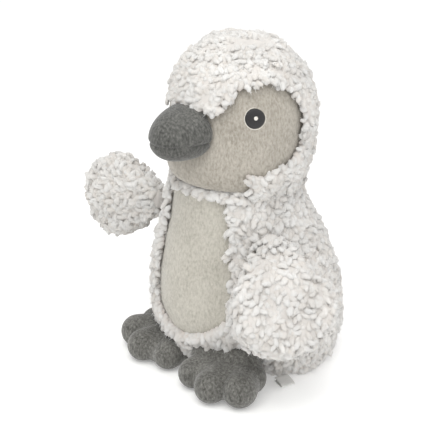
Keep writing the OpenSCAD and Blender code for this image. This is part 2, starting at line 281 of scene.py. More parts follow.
sherpa = fleeceMaterial("sherpa_fleece_brushed_polyester", "#F8F7F5", "#F6F4F1", "#EFE9E4")
facePile = pileMaterial("face_velboa_cut_pile", "#928C81", "#ABA59B", "#BFB9AF")
bellyPile = pileMaterial("belly_velboa_cut_pile", "#A4A095", "#BBB7AD", "#CAC6BC")
beakPile = pileMaterial("beak_velboa_cut_pile", "#3F3F3D", "#5E5E5B", "#7D7C78")
footPile = pileMaterial("foot_velboa_cut_pile", "#454440", "#6B6A66", "#8E8D88")
eyeSatin = threadMaterial("black_rayon_thread", "#121113", "#2A2829", roughness=0.4)
whiteThread = threadMaterial("white_rayon_thread", "#D5D0C6", "#F2EFE9")
labelTape = weaveMaterial("woven_label_tape", "#DAD9D6", "#F6F5F3", 0.35)
fibreFill = fleeceMaterial("hollow_fibre_filling", "#F4F3F0", "#ECEAE6", "#DEDBD6")
baseCloth = weaveMaterial("woven_base_cloth", "#A89B8C", "#C9BDAE", 0.6)
pouchCotton = weaveMaterial("woven_cotton_pouch", "#D8D3C8", "#EFEBE2", 0.5)
pelletPlastic = threadMaterial("moulded_polyethylene_pellets", "#DAD8D2", "#F2F0EA", roughness=0.5)
print("materials made")


def nodeArrays(names):
    # Triangles of one or more CAD nodes: corner points and unit normals
    corners = []
    for name in names:
        mesh = frame["nodes"][name].data
        mesh.calc_loop_triangles()
        tri = np.zeros(len(mesh.loop_triangles) * 3, int)
        mesh.loop_triangles.foreach_get("vertices", tri)
        corners.append(coordsOf(frame["nodes"][name])[tri.reshape(-1, 3)])
    corners = np.concatenate(corners)
    normal = np.cross(corners[:, 1] - corners[:, 0], corners[:, 2] - corners[:, 0])
    area = np.linalg.norm(normal, axis=1)
    keep = area > 1e-12
    return corners[keep], normal[keep] / area[keep, None], area[keep] / 2


def nodeTree(names):
    corners = nodeArrays(names)[0]
    return BVHTree.FromPolygons([tuple(p) for p in corners.reshape(-1, 3)],
                                [(3 * i, 3 * i + 1, 3 * i + 2) for i in range(len(corners))])


def scatter(names, spacing, seed, blocked, keepPoint):
    # Evenly spread points on the outer faces of CAD nodes; blocked stops faces that look at other cloth
    rng = np.random.default_rng(seed)
    corners, normal, area = nodeArrays(names)
    count = int(area.sum() / spacing ** 2 * 5)
    pick = rng.choice(len(area), count, p=area / area.sum())
    u, v = rng.random(count), rng.random(count)
    flip = u + v > 1
    u[flip], v[flip] = 1 - u[flip], 1 - v[flip]
    c = corners[pick]
    points = c[:, 0] + (c[:, 1] - c[:, 0]) * u[:, None] + (c[:, 2] - c[:, 0]) * v[:, None]
    normals = normal[pick]
    cells, chosen = {}, []
    for i in range(count):
        p, n = points[i], normals[i]
        if not keepPoint(p, n):
            continue
        cell = tuple(np.floor(p / spacing).astype(int))
        near = [j for dx in (-1, 0, 1) for dy in (-1, 0, 1) for dz in (-1, 0, 1)
                for j in cells.get((cell[0] + dx, cell[1] + dy, cell[2] + dz), ())]
        if any(((points[j] - p) ** 2).sum() < spacing ** 2 for j in near):
            continue
        hit = blocked.ray_cast(Vector(p + n * 0.0003), Vector(n), 0.007)
        if hit[0] is not None:
            continue
        cells.setdefault(cell, []).append(i)
        chosen.append(i)
    return points[chosen], normals[chosen]


def unit(v):
    return v / np.maximum(np.linalg.norm(v, axis=-1, keepdims=True), 1e-12)


def aboveFilling(points, filling):
    # Nearest point of the filling under each point, and the direction out from it
    feet = np.array([filling.find_nearest(Vector(p))[0] for p in points])
    return feet, unit(points - feet)


lockFacts = {"rings": 5, "sides": 6, "profile": (0.9, 1.1, 1.15, 1.05, 0.75), "flatten": 0.95,
             "rootLean": (0, 28), "tipLean": (80, 160), "swing": (40, 130), "uneven": (0.84, 1.18), "nub": 0.35}


def lockMesh(root, out, comb, length, radius, rng):
    # Vertices, faces, UVs and tones of curled locks, one for each root
    rings, sides = lockFacts["rings"], lockFacts["sides"]
    n = len(root)
    comb = unit(comb - (comb * out).sum(1)[:, None] * out)
    across = np.cross(out, comb)
    s = np.linspace(0, 1, rings)
    lean0 = np.radians(rng.uniform(*lockFacts["rootLean"], n))
    lean1 = np.radians(rng.uniform(*lockFacts["tipLean"], n))
    swing = np.radians(rng.uniform(*lockFacts["swing"], n) * rng.choice([-1, 1], n))
    theta = lean0[:, None] + (lean1 - lean0)[:, None] * s[None] ** 0.8
    phi = swing[:, None] * (s[None] - 0.35)
    flat = comb[:, None] * np.cos(phi)[..., None] + across[:, None] * np.sin(phi)[..., None]
    direction = out[:, None] * np.cos(theta)[..., None] + flat * np.sin(theta)[..., None]
    step = direction * (length / (rings - 1))[:, None, None]
    walked = np.cumsum((step[:, :-1] + step[:, 1:]) / 2, axis=1)
    centre = root[:, None] + np.concatenate([np.zeros((n, 1, 3)), walked], axis=1)
    e1 = unit(np.cross(np.broadcast_to(out[:, None], flat.shape), flat))
    e2 = np.cross(direction, e1)
    turn = np.linspace(0, 2 * np.pi, sides, endpoint=False)[None, None] + rng.uniform(0, 6.28, n)[:, None, None]
    uneven = rng.uniform(*lockFacts["uneven"], (n, rings, sides))
    ring = radius[:, None, None] * np.array(lockFacts["profile"])[None, :, None] * uneven
    verts = centre[:, :, None] + e1[:, :, None] * (ring * np.cos(turn))[..., None] \
        + e2[:, :, None] * (ring * np.sin(turn) * lockFacts["flatten"])[..., None]
    tip = centre[:, -1] + direction[:, -1] * (radius * lockFacts["nub"])[:, None]
    each = rings * sides + 1
    allVerts = np.concatenate([verts.reshape(n, rings * sides, 3), tip[:, None]], axis=1).reshape(-1, 3)
    quads, tris, quadUv, triUv = [], [], [], []
    for r in range(rings - 1):
        for k in range(sides):
            a, b = r * sides + k, r * sides + (k + 1) % sides
            quads.append((a, b, b + sides, a + sides))
            quadUv.append(((k, r), (k + 1, r), (k + 1, r + 1), (k, r + 1)))
    last = (rings - 1) * sides
    for k in range(sides):
        tris.append((last + k, last + (k + 1) % sides, rings * sides))
        triUv.append(((k, rings - 1), (k + 1, rings - 1), (k + 0.5, rings - 0.4)))
    offset = (np.arange(n) * each)[:, None]
    quadLoops = (np.array(quads).reshape(-1)[None] + offset)
    triLoops = (np.array(tris).reshape(-1)[None] + offset)
    scale = np.array([1 / sides, 1 / rings])
    shift = rng.uniform(0, 40, (n, 1, 2))
    quadCoords = np.array(quadUv, float).reshape(1, -1, 2) * scale + shift
    triCoords = np.array(triUv, float).reshape(1, -1, 2) * scale + shift
    along = np.concatenate([np.repeat(s, sides), [1.0]])
    return {"verts": allVerts, "quads": quadLoops.reshape(-1), "tris": triLoops.reshape(-1),
            "quadUv": quadCoords.reshape(-1, 2), "triUv": triCoords.reshape(-1, 2),
            "along": np.tile(along, n), "tint": np.repeat(rng.uniform(0, 1, n) ** 1.6, each),
            "out": np.repeat(out, each, axis=0)}


wispFacts = {"half": 0.16 * mm, "bend": 0.4, "length": (1.0, 3.4), "outward": 0.5, "stray": 0.6}


def wispMesh(root, direction, out, length, rng):
    # Fine loose fibres: flat tapered ribbons with one bend
    n = len(root)
    side = unit(np.cross(direction, rng.normal(size=(n, 3))))
    bend = np.cross(direction, side) * (rng.uniform(-wispFacts["bend"], wispFacts["bend"], n) * length)[:, None]
    half = side * wispFacts["half"]
    middle = root + direction * (length * 0.55)[:, None] + bend * 0.4
    tip = root + direction * length[:, None] + bend
    corners = [root - half, root + half, middle + half * 0.8, middle - half * 0.8, tip]
    verts = np.stack(corners, axis=1).reshape(-1, 3)
    offset = (np.arange(n) * 5)[:, None]
    return {"verts": verts, "quads": (np.array([0, 1, 2, 3])[None] + offset).reshape(-1),
            "tris": (np.array([3, 2, 4])[None] + offset).reshape(-1),
            "quadUv": np.zeros((n * 4, 2)), "triUv": np.zeros((n * 3, 2)),
            "along": np.ones(n * 5), "tint": np.zeros(n * 5), "out": np.repeat(out, 5, axis=0)}


def gridMesh(obj, along, tint, out):
    # The arrays of an object's mesh of quads and triangles, with one tone
    mesh = obj.data
    co = coordsOf(obj)
    quads = [v for p in mesh.polygons if len(p.vertices) == 4 for v in p.vertices]
    tris = [v for p in mesh.polygons if len(p.vertices) == 3 for v in p.vertices]
    return {"verts": co, "quads": np.array(quads, int), "tris": np.array(tris, int),
            "quadUv": np.zeros((len(quads), 2)), "triUv": np.zeros((len(tris), 2)),
            "along": np.full(len(co), along), "tint": np.full(len(co), tint), "out": out}


def fleeceObject(name, parts, material):
    # One mesh from several sets of arrays, with its strand UVs and tones
    starts = np.cumsum([0] + [len(p["verts"]) for p in parts])
    verts = np.concatenate([p["verts"] for p in parts])
    quads = np.concatenate([p["quads"] + o for p, o in zip(parts, starts)])
    tris = np.concatenate([p["tris"] + o for p, o in zip(parts, starts)])
    uv = np.concatenate([p["quadUv"] for p in parts] + [p["triUv"] for p in parts])
    mesh = bpy.data.meshes.new(name)
    mesh.vertices.add(len(verts))
    mesh.vertices.foreach_set("co", verts.astype(np.float32).reshape(-1))
    nq, nt = len(quads) // 4, len(tris) // 3
    mesh.loops.add(len(quads) + len(tris))
    mesh.loops.foreach_set("vertex_index", np.concatenate([quads, tris]).astype(np.int32))
    mesh.polygons.add(nq + nt)
    starts = np.concatenate([np.arange(nq) * 4, nq * 4 + np.arange(nt) * 3])
    mesh.polygons.foreach_set("loop_start", starts.astype(np.int32))
    mesh.polygons.foreach_set("use_smooth", np.ones(nq + nt, bool))
    mesh.update(calc_edges=True)
    layer = mesh.uv_layers.new(name="strand")
    layer.data.foreach_set("uv", uv.astype(np.float32).reshape(-1))
    for key in ("along", "tint"):
        attribute = mesh.attributes.new(key, "FLOAT", "POINT")
        attribute.data.foreach_set("value", np.concatenate([p[key] for p in parts]).astype(np.float32))
    outAxis = mesh.attributes.new("outAxis", "FLOAT_VECTOR", "POINT")
    outAxis.data.foreach_set("vector", np.concatenate([p["out"] for p in parts]).astype(np.float32).reshape(-1))
    mesh.validate()
    mesh.materials.append(material)
    obj = bpy.data.objects.new(name, mesh)
    bpy.context.scene.collection.objects.link(obj)
    return obj


def remeshed(obj, voxel, smoothSteps):
    # Even mesh with its corners eased, in place of the object's own
    remesh = obj.modifiers.new("remesh", "REMESH")
    remesh.mode = "VOXEL"
    remesh.voxel_size = voxel
    smooth = obj.modifiers.new("smooth", "SMOOTH")
    smooth.iterations = smoothSteps
    smooth.factor = 0.5
    bpy.context.view_layer.update()
    final = bpy.data.meshes.new_from_object(obj.evaluated_get(bpy.context.evaluated_depsgraph_get()))
    obj.modifiers.clear()
    obj.data = final


def dress(obj, material):
    obj.data.materials.clear()
    obj.data.materials.append(material)


def workCopy(name, nodes, voxel, smoothSteps):
    # A remeshed, smoothed copy of CAD nodes to shape further
    corners = nodeArrays(nodes)[0]
    mesh = bpy.data.meshes.new(name)
    mesh.from_pydata([tuple(p) for p in corners.reshape(-1, 3)], [],
                     [(3 * i, 3 * i + 1, 3 * i + 2) for i in range(len(corners))])
    obj = bpy.data.objects.new(name, mesh)
    bpy.context.scene.collection.objects.link(obj)
    weld = obj.modifiers.new("weld", "WELD")
    weld.merge_threshold = 0.00001
    remeshed(obj, voxel, smoothSteps)
    obj.data.name = name
    return obj


def coordsOf(obj):
    co = np.zeros(len(obj.data.vertices) * 3)
    obj.data.vertices.foreach_get("co", co)
    return co.reshape(-1, 3)


def setCoords(obj, co):
    obj.data.vertices.foreach_set("co", co.astype(np.float32).reshape(-1))
    obj.data.update()


def removeObject(obj):
    bpy.data.objects.remove(obj)


def turnX(degrees):
    a = math.radians(degrees)
    return np.array([[1, 0, 0], [0, math.cos(a), -math.sin(a)], [0, math.sin(a), math.cos(a)]])


neckAt = jointAt["head_turn"]
bodyFrame = {"origin": np.zeros(3), "turn": turnX(5), "low": 4, "high": 150}
headBase = 156 * mm
headFrame = {"origin": np.array([0, -headBase * math.tan(math.radians(5)), headBase]), "turn": turnX(-8),
             "low": 11, "high": 112}


def toAxis(points, place):
    return (points - place["origin"]) @ place["turn"]


def fromAxis(points, place):
    return points @ place["turn"].T + place["origin"]


def flankProfile(filling, place):
    # Radius of the filling's back by height on its own axis, and the same rounded over its corners
    heights = np.arange(place["low"], place["high"] + 1) * mm
    radii = []
    for h in heights:
        start = fromAxis(np.array([[0.2, 0, h]]), place)[0]
        aim = place["turn"] @ np.array([-1.0, 0, 0])
        hit = filling.ray_cast(Vector(start), Vector(aim), 0.3)
        radii.append(np.nan if hit[0] is None else toAxis(np.array([hit[0]]), place)[0, 0])
    radii = np.array(radii)
    good = ~np.isnan(radii)
    radii = np.interp(heights, heights[good], radii[good])
    kernel = np.exp(-np.linspace(-2.4, 2.4, 29) ** 2 / 2)
    padded = np.concatenate([np.linspace(2 * radii[0] - radii[14], radii[0], 14, endpoint=False), radii,
                             2 * radii[-1] - radii[-15:-1][::-1]])
    return heights, radii, np.convolve(padded, kernel / kernel.sum(), "valid")


fillings = {"body": nodeTree(["body_filling"]), "head": nodeTree(["head_filling"]),
            "wing_left": nodeTree(["wing_left_filling"]), "wing_right": nodeTree(["wing_right_filling"])}
bodyFlank = flankProfile(fillings["body"], bodyFrame)
headFlank = flankProfile(fillings["head"], headFrame)


def rounded(points, place, flank, fade=1.0):
    # Points moved in or out where the rounded flank differs from the CAD one's corners
    local = toAxis(points, place)
    r = np.hypot(local[:, 0], local[:, 1])
    change = np.interp(local[:, 2], flank[0], flank[2] - flank[1], left=0, right=0) * fade
    k = (r + change) / np.maximum(r, 1e-6)
    local[:, 0] *= k
    local[:, 1] *= k
    return fromAxis(local, place)


# Width and depth factors; tuck, rump and slim in mm; twist in degrees; broad is a share of the azimuth
bodyFacts = {"wide": 1.02, "deep": 0.94, "tuck": 13, "tuckTop": 60, "rump": 3.5,
             "slim": 6, "twist": 4, "broad": 0.22}


def bodyForm(points):
    # Rounded flank, wider than deep, slim at the front corners, turned a little, tucked in above the feet
    points = rounded(points, bodyFrame, bodyFlank)
    azimuth, height = azimuthOf(points, bodyFrame)
    low = np.clip(1 - height / mm / bodyFacts["tuckTop"], 0, 1) ** 1.5
    front = np.clip((92 - np.abs(azimuth)) / 45, 0, 1)
    front = front * front * (3 - 2 * front)
    local = toAxis(points, bodyFrame)
    grow = np.clip((150 - height / mm) / 50, 0, 1)
    local[:, 0] *= 1 + (bodyFacts["wide"] - 1) * grow
    local[:, 1] *= 1 + (bodyFacts["deep"] - 1) * grow
    r = np.hypot(local[:, 0], local[:, 1])
    rump = bump(azimuth - 125, 50) * bump(height - 48 * mm, 40 * mm) * bodyFacts["rump"]
    slim = (bump(azimuth - 48, 34) + bump(azimuth + 48, 34)) * bodyFacts["slim"] * grow
    change = rump - slim - bodyFacts["tuck"] * low * front
    local[:, :2] *= (1 + change * mm / np.maximum(r, 0.03))[:, None]
    above = np.clip((height / mm - 34) / 30, 0, 1) * grow
    twist = np.radians(bodyFacts["twist"] + bodyFacts["broad"] * azimuth * bump(azimuth, 60)) * above
    x, y = local[:, 0].copy(), local[:, 1].copy()
    local[:, 0], local[:, 1] = x * np.cos(twist) - y * np.sin(twist), x * np.sin(twist) + y * np.cos(twist)
    return fromAxis(local, bodyFrame)


headFacts = {"crownFrom": 60, "crown": 0.93}


def headForm(points):
    # Rounded flank with a slightly lower crown
    local = toAxis(rounded(points, headFrame, headFlank), headFrame)
    above = np.maximum(local[:, 2] - headFacts["crownFrom"] * mm, 0)
    local[:, 2] -= above * (1 - headFacts["crown"])
    return fromAxis(local, headFrame)


def azimuthOf(points, place):
    local = toAxis(points, place)
    return np.degrees(np.arctan2(local[:, 0], -local[:, 1])), local[:, 2]


def bump(x, width):
    return np.exp(-(x / width) ** 2)


bodyNodes = ["body_filling", "base_panel", "belly_panel", "body_fleece_left", "body_fleece_right"]
headNodes = ["head_filling", "hood_left", "hood_right", "face_panel", "beak_upper", "beak_lower"]
ankles = [jointAt["foot_left_flex"], jointAt["foot_right_flex"]]
shoulders = [jointAt["wing_left_raise"], jointAt["wing_right_raise"]]


# Where no fleece grows: underneath, over the feet, at the shoulder seams and inside the neck joint
bareFacts = {"under": 0.004, "footSplay": 15, "footHalf": 0.036, "footTop": 0.0319, "footBack": 0.008,
             "shoulder": 0.0125, "wingRoot": 0.0105, "neckBall": 0.0595, "neckFrom": 0.14}


def bodyKeeps(p, n):
    if n[2] < -0.8 or (p[2] < bareFacts["under"] and n[2] < -0.5):
        return False
    for side, ankle in zip((1, -1), ankles):
        a = math.radians(bareFacts["footSplay"] * side)
        d = p - ankle
        x, y = d[0] * math.cos(a) + d[1] * math.sin(a), -d[0] * math.sin(a) + d[1] * math.cos(a)
        if abs(x) < bareFacts["footHalf"] and p[2] < bareFacts["footTop"] and y < bareFacts["footBack"]:
            return False
    inNeck = p[2] > bareFacts["neckFrom"] and np.linalg.norm(p - neckAt) < bareFacts["neckBall"] and n[2] > 0.6
    return all(np.linalg.norm(p - s) > bareFacts["shoulder"] for s in shoulders) and not inNeck


def headKeeps(p, n):
    return np.linalg.norm(p - neckAt) > bareFacts["neckBall"] or n[2] > -0.3


def wingKeeps(centre):
    outwards = unit(centre * np.array([1, 1, 0]))
    return lambda p, n: np.linalg.norm(p - centre) > bareFacts["wingRoot"] or (p - centre) @ outwards > -0.002


def downAlong(out, rng, spread):
    # Combing direction: down the cloth, turned at random by up to spread degrees
    flow = down - (out @ down)[:, None] * out
    flow = unit(flow + rng.normal(size=out.shape) * 0.05)
    turn = np.radians(rng.normal(0, spread, len(out)))[:, None]
    return flow * np.cos(turn) + np.cross(out, flow) * np.sin(turn)


def awayFrom(point, root, out, rng, spread):
    # Combing direction: out from a point, turned at random in the same way
    flow = unit(root - point)
    flow = unit(flow - (flow * out).sum(1)[:, None] * out + rng.normal(size=out.shape) * 0.08)
    turn = np.radians(rng.normal(0, spread, len(out)))[:, None]
    return flow * np.cos(turn) + np.cross(out, flow) * np.sin(turn)


wingFacts = {"wing_left_filling": (1.28, 1.08, 4), "wing_right_filling": (1.08, 0.93, 0)}


def wingForm(pivot, filling):
    # Fuller across than the CAD wing, measured about the line from shoulder to tip
    middle = np.array([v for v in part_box(filling)], float).mean(0)
    axis = unit(middle - pivot)
    wide, long, lift = wingFacts[filling]
    outwards = unit(pivot * np.array([1, 1, 0]))

    def form(points):
        d = points - pivot
        along = (d @ axis)[:, None] * axis
        grow = np.clip((d @ axis) / 0.02, 0, 1)[:, None]
        return pivot + along * long + (d - along) * (1 + (wide - 1) * grow) + outwards * (lift * mm * grow)
    return form


def aboveFloor(points):
    # Cloth that reaches the floor is pressed flat on it
    z = points[:, 2]
    low = z < floorFacts["from"]
    drop = np.exp((z[low] - floorFacts["from"]) / floorFacts["from"])
    points[low, 2] = floorFacts["level"] + (floorFacts["from"] - floorFacts["level"]) * drop
    return points


floorFacts = {"from": 2 * mm, "level": 0.4 * mm}


def fleecePiece(facts):
    # Backing and locks of one fleece panel of the CAD, in place of its node
    rng = np.random.default_rng(facts["seed"])
    node, filling = facts["node"], fillings[facts["filling"]]
    points, normals = scatter([node], facts["spacing"], facts["seed"], facts["blocked"], facts["keep"])
    feet = aboveFilling(points, filling)[0]
    feet, points = facts["form"](feet), facts["form"](points)
    out, depth = unit(points - feet), np.linalg.norm(points - feet, axis=1)
    root = feet + out * (depth * facts["rootDepth"])[:, None]
    if "away" in facts:
        comb = awayFrom(facts["away"], root, out, rng, facts["spread"])
    else:
        comb = downAlong(out, rng, facts["spread"])
    n = len(root)
    length = rng.uniform(*facts["length"], n) * mm
    radius = rng.uniform(*facts["radius"], n) * mm
    locks = lockMesh(root, out, comb, length, radius, rng)
    perLock = lockFacts["rings"] * lockFacts["sides"] + 1
    lockVerts = locks["verts"].reshape(n, perLock, 3)
    wisps = int(n * facts["wisps"])
    which = rng.integers(0, n, wisps)
    tips = lockVerts[which, rng.integers(perLock // 2, perLock, wisps)]
    axisOf = lockVerts[which].mean(1)
    stray = rng.normal(size=(wisps, 3)) * wispFacts["stray"]
    fly = unit(unit(tips - axisOf) + out[which] * wispFacts["outward"] + stray)
    loose = wispMesh(tips, fly, out[which], rng.uniform(*wispFacts["length"], wisps) * mm, rng)
    backing = workCopy(node + "_backing", [node], 2.2 * mm, 4)
    co = coordsOf(backing)
    under, up = aboveFilling(co, filling)
    high = np.linalg.norm(co - under, axis=1)
    co = under + up * (high * facts["backing"] + 0.0003)[:, None]
    setCoords(backing, facts["form"](co))
    # The backing takes the colour at 0.3 along the lock ramp: painted shade between the lock roots
    parts = [gridMesh(backing, 0.3, 0.4, up), locks, loose]
    for part in parts:
        part["verts"] = aboveFloor(part["verts"])
    removeObject(backing)
    piece = fleeceObject(facts["name"], parts, sherpa)
    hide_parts(node)
    if "blend" in facts:
        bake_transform(piece)
    else:
        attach(piece, facts["body"])
    print(facts["name"], n, "locks,", len(piece.data.polygons), "faces")
    return piece


seamHeight = headFrame["origin"][2]
bodyBlend = ("body", "neck", (0, neckAt[1], seamHeight - 0.030), (0, neckAt[1], seamHeight - 0.002))
headBlend = ("neck", "head", (0, neckAt[1], seamHeight + 0.002), (0, neckAt[1], seamHeight + 0.026))
bodyTree, headTree = nodeTree(bodyNodes), nodeTree(headNodes)

bodyFleece = {"filling": "body", "blocked": bodyTree, "keep": bodyKeeps, "form": bodyForm,
              "spacing": 2.85 * mm, "rootDepth": 0.5, "backing": 0.88,
              "length": (6.5, 11), "radius": (1.8, 2.7),
              "spread": 50, "wisps": 6, "fill": 0.8, "blend": bodyBlend}
hoodFleece = {"filling": "head", "blocked": headTree, "keep": headKeeps, "form": headForm,
              "spacing": 2.65 * mm, "rootDepth": 0.5, "backing": 0.88, "length": (6, 9.5), "radius": (1.6, 2.4),
              "spread": 75, "wisps": 6, "fill": 0.85, "blend": headBlend}
wingFleece = {"spacing": 2.7 * mm, "rootDepth": 0.5, "backing": 0.85,
              "length": (6.5, 10.5), "radius": (1.7, 2.5),
              "spread": 55, "wisps": 6, "fill": 0.8}

fleecePiece({**bodyFleece, "name": "body_fleece_left_sherpa", "node": "body_fleece_left", "seed": 11})
fleecePiece({**bodyFleece, "name": "body_fleece_right_sherpa", "node": "body_fleece_right", "seed": 12})
fleecePiece({**hoodFleece, "name": "hood_left_sherpa", "node": "hood_left", "seed": 13})
fleecePiece({**hoodFleece, "name": "hood_right_sherpa", "node": "hood_right", "seed": 14})
for wing, pivot in zip(("wing_left", "wing_right"), shoulders):
    wingNodes = [wing + "_outer", wing + "_inner", wing + "_filling"]
    wingTree = nodeTree(wingNodes)
    for k, node in enumerate(wingNodes[:2]):
        fleecePiece({**wingFleece, "name": node + "_sherpa", "node": node,
                     "seed": 20 + k + 2 * (wing == "wing_right"), "filling": wing, "blocked": wingTree,
                     "keep": wingKeeps(pivot), "away": pivot, "body": wing,
                     "form": wingForm(pivot, wing + "_filling")})


def pilePiece(name, nodes, voxel, smoothSteps, material, shape):
    # A remeshed CAD panel, shaped by a function of its points, in place of its nodes
    piece = workCopy(name, nodes, voxel, smoothSteps)
    setCoords(piece, shape(coordsOf(piece)))
    dress(piece, material)
    piece.data.polygons.foreach_set("use_smooth", np.ones(len(piece.data.polygons), bool))
    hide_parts(*nodes)
    print(name, len(piece.data.polygons), "faces")
    return piece


def outward(points, place):
    local = toAxis(points, place)
    local[:, 2] = 0
    return unit(local) @ place["turn"].T


facePuff = {"height": 13, "tall": 16, "wide": 95, "proud": 2.2,
            "dart": 33, "dartWide": 3.2, "dartTall": 9, "dartDeep": 1.6}


def shapeFace(points):
    azimuth, height = azimuthOf(points, headFrame)
    points = headForm(points)
    fullness = bump(height - facePuff["height"] * mm, facePuff["tall"] * mm)
    fullness = fullness * np.clip(1 - (np.abs(azimuth) / facePuff["wide"]) ** 4, 0, 1)
    dart = sum(bump(azimuth - s * facePuff["dart"], facePuff["dartWide"]) for s in (-1, 1))
    dart = dart * bump(height + 1 * mm, facePuff["dartTall"] * mm)
    puff = fullness * facePuff["proud"] * mm - dart * facePuff["dartDeep"] * mm
    return points + outward(points, headFrame) * puff[:, None]


def shapeBelly(points):
    azimuth, height = azimuthOf(points, bodyFrame)
    points = bodyForm(points)
    soft = 0.9 * np.sin(azimuth * 0.12 + 0.7) * np.sin(height / mm * 0.045 + 0.4)
    return points + outward(points, bodyFrame) * ((0.8 + soft * 0.5) * mm)[:, None]


face = pilePiece("face_panel_velboa", ["face_panel"], 0.9 * mm, 12, facePile, shapeFace)
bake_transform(face)
belly = pilePiece("belly_panel_velboa", ["belly_panel"], 0.9 * mm, 12, bellyPile, shapeBelly)
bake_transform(belly)

beakLow = np.array(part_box("beak_upper")[0])
beakTip = beakLow[1]
mouth = {"height": beakLow[2], "groove": 1.5, "width": 1.7, "close": 0.9, "flare": 0.2}


def shapeBeak(up):
    def shape(points):
        centre = np.array([0, points[:, 1].max(), mouth["height"] + 5 * mm])
        away = unit((points - centre) * np.array([1, 0.5, 1]))
        groove = bump(points[:, 2] - mouth["height"], mouth["width"] * mm)
        close = bump(points[:, 2] - mouth["height"], 0.8 * mm) * mouth["close"] * mm
        points = points + np.stack([0 * close, 0 * close, -close if up else close], 1)
        root = np.clip((points[:, 1] - beakTip) / (centre[1] - beakTip), 0, 1)
        points = points * np.stack([1 + mouth["flare"] * root, 1 + 0 * root, 1 + 0 * root], 1)
        return points - away * (groove * mouth["groove"] * mm)[:, None]
    return shape


for up, node in ((True, "beak_upper"), (False, "beak_lower")):
    half = pilePiece(node + "_velboa", [node], 0.7 * mm, 8, beakPile, shapeBeak(up))
    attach(half, "head")


def capsule(a, b, ra, rb, sides=28, rings=8):
    # Round-ended tapered bar between two points
    a, b = np.array(a, float), np.array(b, float)
    d = b - a
    length = np.linalg.norm(d)
    d = d / length
    u = unit(np.cross(d, [0.31, 0.2, 0.93]))
    v = np.cross(d, u)
    turn = np.linspace(0, 2 * np.pi, sides, endpoint=False)
    rows = [(a - d * ra * math.cos(t), ra * math.sin(t)) for t in np.linspace(0.15, np.pi / 2, rings)]
    rows += [(b + d * rb * math.cos(t), rb * math.sin(t)) for t in np.linspace(np.pi / 2, 0.15, rings)]
    verts = [c + (u * math.cos(t) + v * math.sin(t)) * r for c, r in rows for t in turn]
    faces = []
    for i in range(len(rows) - 1):
        for k in range(sides):
            a, b = i * sides + k, i * sides + (k + 1) % sides
            faces.append((a, b, b + sides, a + sides))
    faces += [tuple(range(sides))[::-1], tuple((len(rows) - 1) * sides + k for k in range(sides))]
    return verts, faces


# Toes: which side, reach and end radius; heel: half length and rise of the roll inside the opening
footFacts = {"shift": {1: (4, -5), -1: (10, 0)}, "heel": {1: (18, 8), -1: (10, 2)},
             "toes": ((-1, 15, 12.8), (0, 27, 13.6), (1, 21, 14.2)), "gap": 23.5 * mm,
             "radius": 13.5 * mm, "splay": 15, "voxel": 0.9 * mm, "smooth": 16}


def footForm(name, side, ankle, inset):
    # Three toes that run together into the heel roll
    a = math.radians(footFacts["splay"] * side)
    turn = np.array([[math.cos(a), -math.sin(a), 0], [math.sin(a), math.cos(a), 0], [0, 0, 1]])
    r = footFacts["radius"] - inset
    verts, faces = [], []
    gap = footFacts["gap"]
    bars = [((side * k * gap * 0.75, -1 * mm, 1 * mm), (side * k * gap, -reach * mm, (toeR - 13) * mm),
             r, toeR * mm - inset) for k, reach, toeR in footFacts["toes"]]
    bars.append(((-21 * mm, 0, 1 * mm), (21 * mm, 0, 1 * mm), r, r))
    bars.append(((-19 * mm, -9 * mm, 0.5 * mm), (19 * mm, -10 * mm, 0.5 * mm), r * 0.98, r * 0.98))
    bars.append(((-9 * mm, -16 * mm, 0), (10 * mm, -17 * mm, 0), r * 0.93, r * 0.93))
    bars.append(((0, -19 * mm, 0), (side * 21 * mm, -13 * mm, 0.5 * mm), r * 0.86, r * 0.88))
    bars.append(((0, -19 * mm, 0), (side * -20 * mm, -9 * mm, 0), r * 0.86, r * 0.86))
    sx, sy = footFacts["shift"][side]
    bars.append((((-19 - sx) * mm, -sy * mm, 1 * mm), ((19 - sx) * mm, -sy * mm, 1 * mm), r, r))
    half, rise = footFacts["heel"][side]
    bars.append((((-half - sx) * mm, -sy * mm, rise * mm), ((half - sx) * mm, -sy * mm, rise * mm), r, r))
    for p, q, rp, rq in bars:
        v, f = capsule(p, q, rp, rq)
        faces += [tuple(i + len(verts) for i in each) for each in f]
        verts += v
    world = np.array(verts) @ turn.T + ankle + np.array(footFacts["shift"][side] + (0,)) * mm
    obj = meshObject(name, world, faces, footPile)
    remeshed(obj, footFacts["voxel"], footFacts["smooth"])
    co = coordsOf(obj)
    floorLevel = inset
    low = co[:, 2] < floorLevel + 2 * mm
    co[low, 2] = floorLevel + 2 * mm * np.exp((co[low, 2] - floorLevel - 2 * mm) / (2 * mm)) * 0.9 + 0.0002
    setCoords(obj, co)
    obj.data.polygons.foreach_set("use_smooth", np.ones(len(obj.data.polygons), bool))
    return obj


for side, foot, ankle in ((1, "foot_left", ankles[0]), (-1, "foot_right", ankles[1])):
    skin = footForm(foot + "_velboa", side, ankle, 0)
    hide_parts(foot + "_upper", foot + "_sole")
    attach(skin, foot)
    wad = footForm(foot + "_wadding", side, ankle, 2.2 * mm)
    dress(wad, fibreFill)
    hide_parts(foot + "_filling")
    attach(wad, foot)
print("feet made")


def eyeFrame(node):
    low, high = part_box(node)
    centre = np.array((low + high) / 2)
    foot = np.array(fillings["head"].find_nearest(Vector(centre))[0])
    out = unit(centre - foot)
    right = unit(np.cross([0, 0, 1.0], out))
    return centre, out, right, np.cross(out, right)


eyeFacts = {"radius": 8.1, "rim": 0.5, "dot": 1.6, "proud": 0.9, "spokes": 64, "ball": 56}


